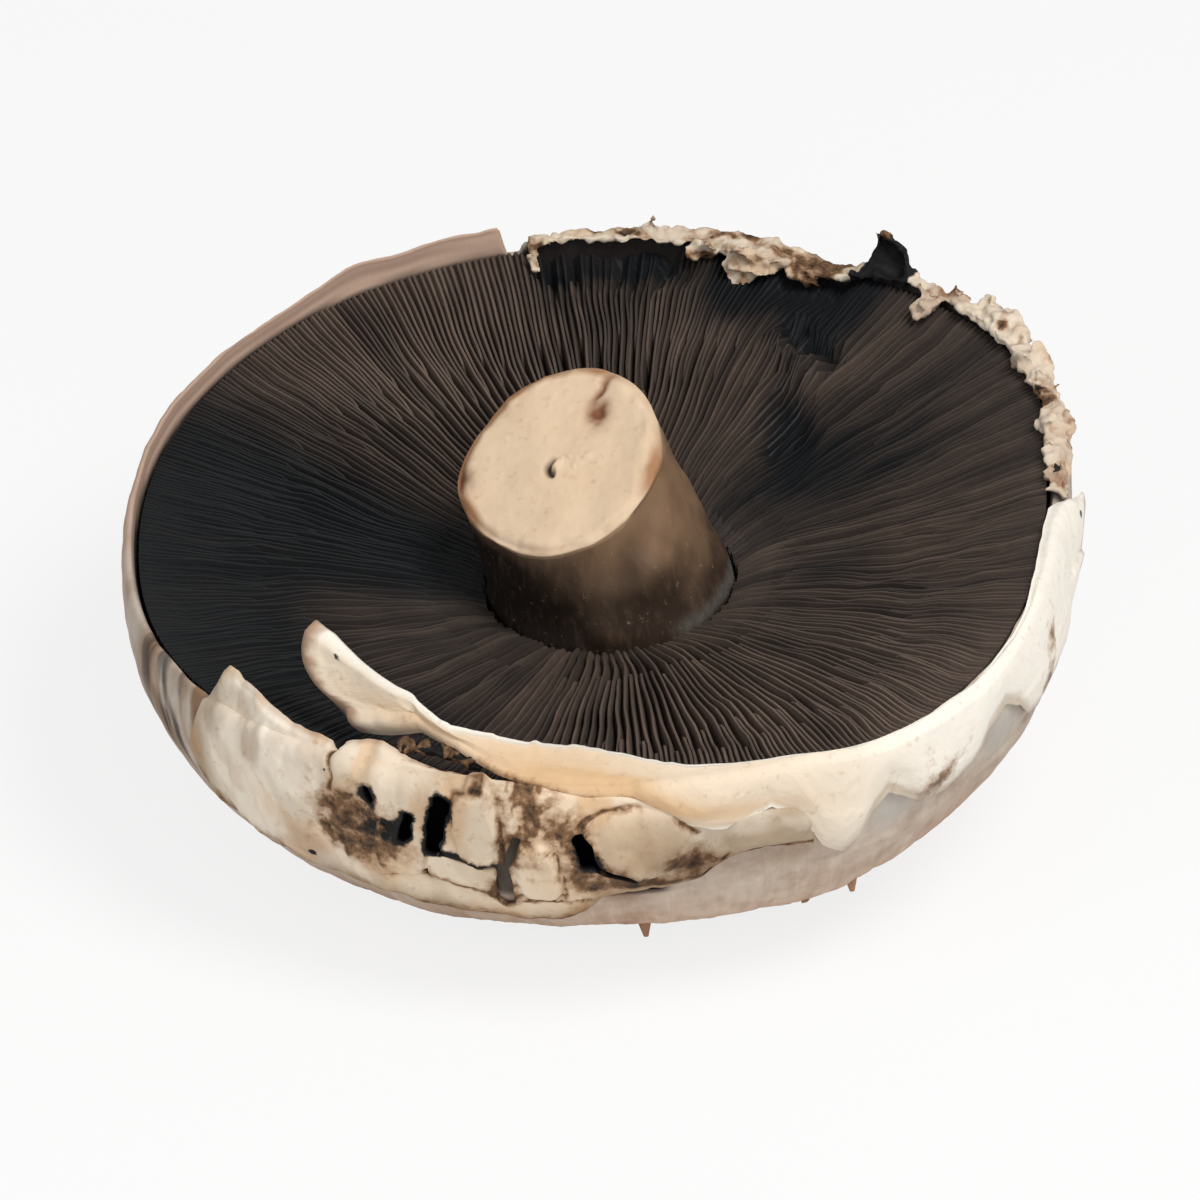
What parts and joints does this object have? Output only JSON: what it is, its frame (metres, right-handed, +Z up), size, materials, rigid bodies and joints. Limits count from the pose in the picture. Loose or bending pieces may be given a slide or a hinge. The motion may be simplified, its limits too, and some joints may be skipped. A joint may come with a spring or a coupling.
{
  "type": "portobello mushroom",
  "caption": "Open brown mushroom lying on its crown, with dark gills up, a slant-cut stem and a torn pale veil round the rim.",
  "frame": {"origin": "on the surface the mushroom lies on, under the middle of its outer box", "axes": "+Z up, on the side of the gills; -Y towards the side where the long strip of veil has peeled off the rim"},
  "size_m": [0.1159, 0.126, 0.0506],
  "materials": {
    "cap_skin": "dry fibrous skin",
    "gills": "matt, finely pleated",
    "stem_flesh": "matt cut flesh",
    "veil": "soft matt membrane"
  },
  "bodies": {
    "root": {"cap": "cap_skin", "gills": "gills", "stem": "stem_flesh", "front_veil_flap": "veil", "left_veil_flap": "veil", "back_veil_fringe": "veil"}
  },
  "joints": []
}
